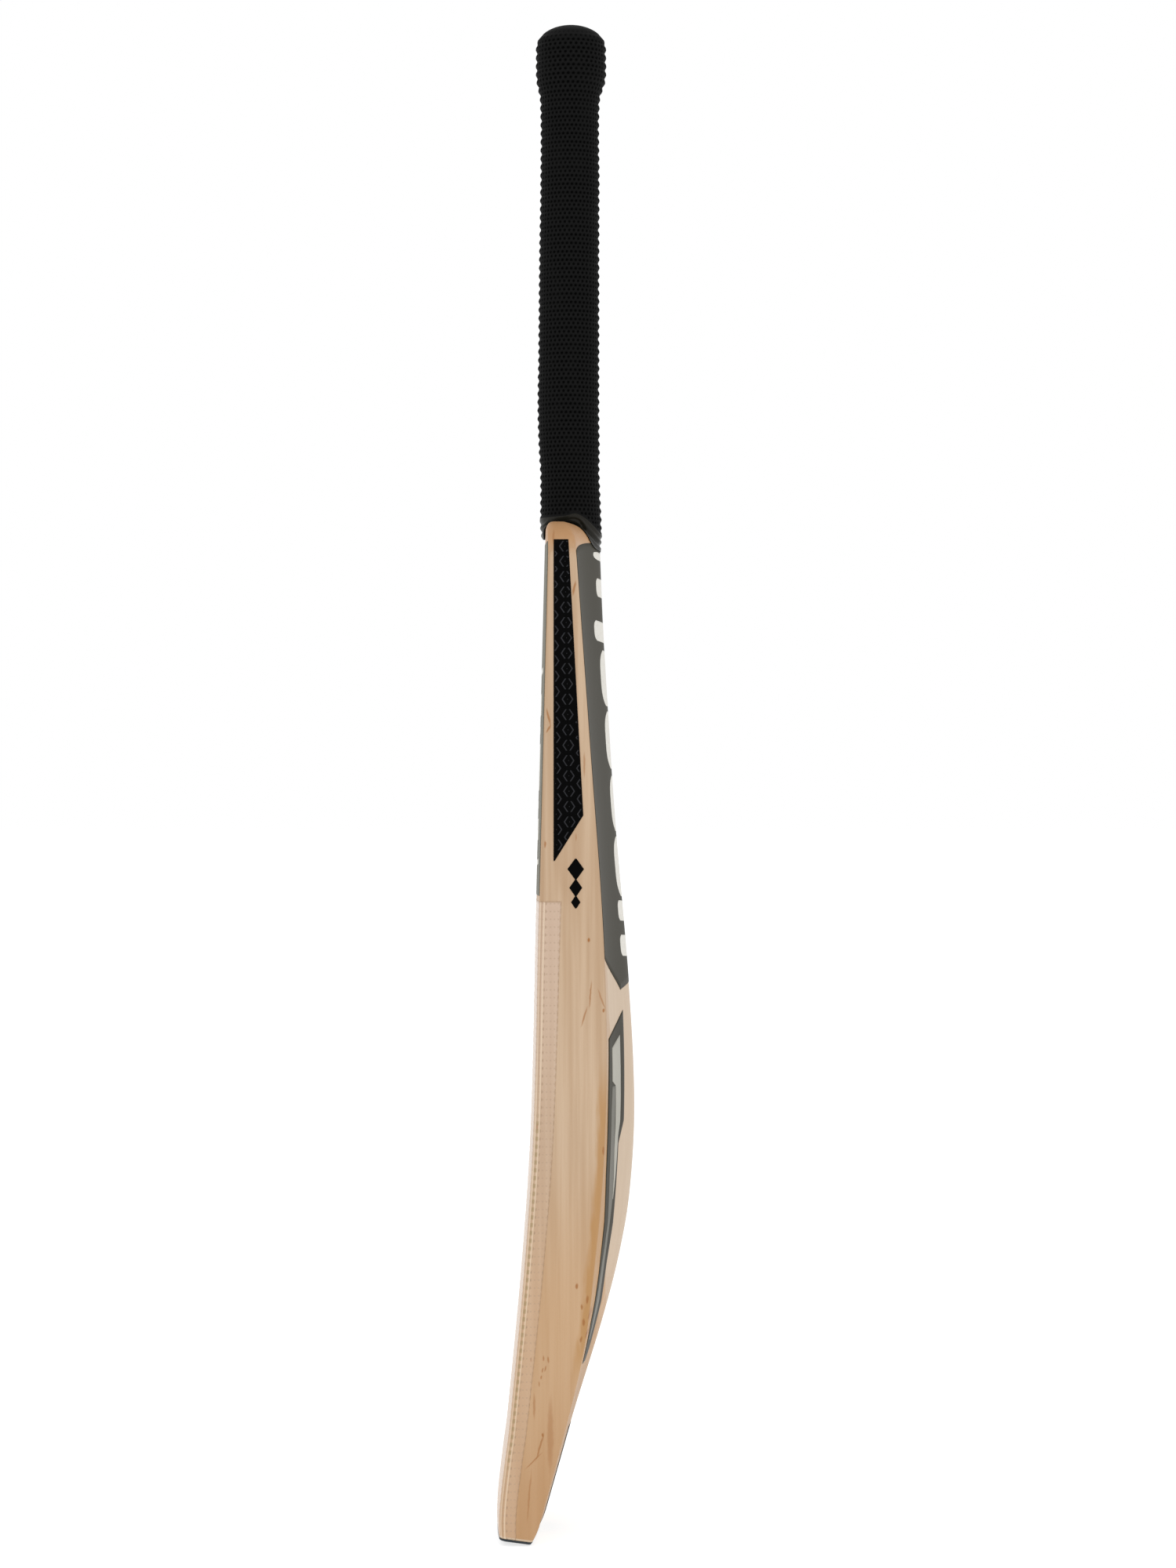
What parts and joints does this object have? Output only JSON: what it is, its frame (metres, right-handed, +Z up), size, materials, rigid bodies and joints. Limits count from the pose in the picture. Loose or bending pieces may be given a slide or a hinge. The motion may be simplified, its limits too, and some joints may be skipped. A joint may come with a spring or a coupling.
{
  "type": "cricket bat",
  "caption": "Full-size cricket bat: willow blade with a swept spine, V-spliced laminated cane handle, scale-textured rubber grip and rubber toe guard.",
  "frame": {"origin": "at the foot of the bat: lowest point of the toe guard at z = 0, middle of the bat's width and depth at x = 0, y = 0", "axes": "+Z up along the handle, -Y out of the hitting face, +Y out of the spine, X across the blade's width"},
  "size_m": [0.108, 0.0775, 0.8544],
  "materials": {
    "willow": "satin, lightly oiled willow with straight grain",
    "cane": "sawn cane, unfinished",
    "spring_rubber": "matt sheet rubber",
    "twine": "waxed twine, wound close",
    "grip_rubber": "moulded scale texture, soft sheen",
    "guard_rubber": "smooth moulded rubber",
    "fibre_sheet": "thin translucent fibre mesh, satin",
    "grey_label": "printed adhesive film, satin",
    "black_label": "embossed adhesive film, semi-gloss"
  },
  "bodies": {
    "root": {"blade": "willow", "cane_1_left": "cane", "cane_1_middle": "cane", "cane_1_right": "cane", "cane_2_left": "cane", "cane_2_middle": "cane", "cane_2_right": "cane", "cane_3_left": "cane", "cane_3_middle": "cane", "cane_3_right": "cane", "cane_4_left": "cane", "cane_4_middle": "cane", "cane_4_right": "cane", "spring_strip_front": "spring_rubber", "spring_strip_middle": "spring_rubber", "spring_strip_back": "spring_rubber", "binding": "twine", "grip": "grip_rubber", "toe_guard": "guard_rubber", "face_sheet": "fibre_sheet", "front_label": "grey_label", "spine_label": "grey_label", "toe_label": "grey_label", "back_flash_left": "grey_label", "edge_label_left": "black_label", "edge_mark_left": "black_label", "back_flash_right": "grey_label", "edge_label_right": "black_label", "edge_mark_right": "black_label"}
  },
  "joints": []
}
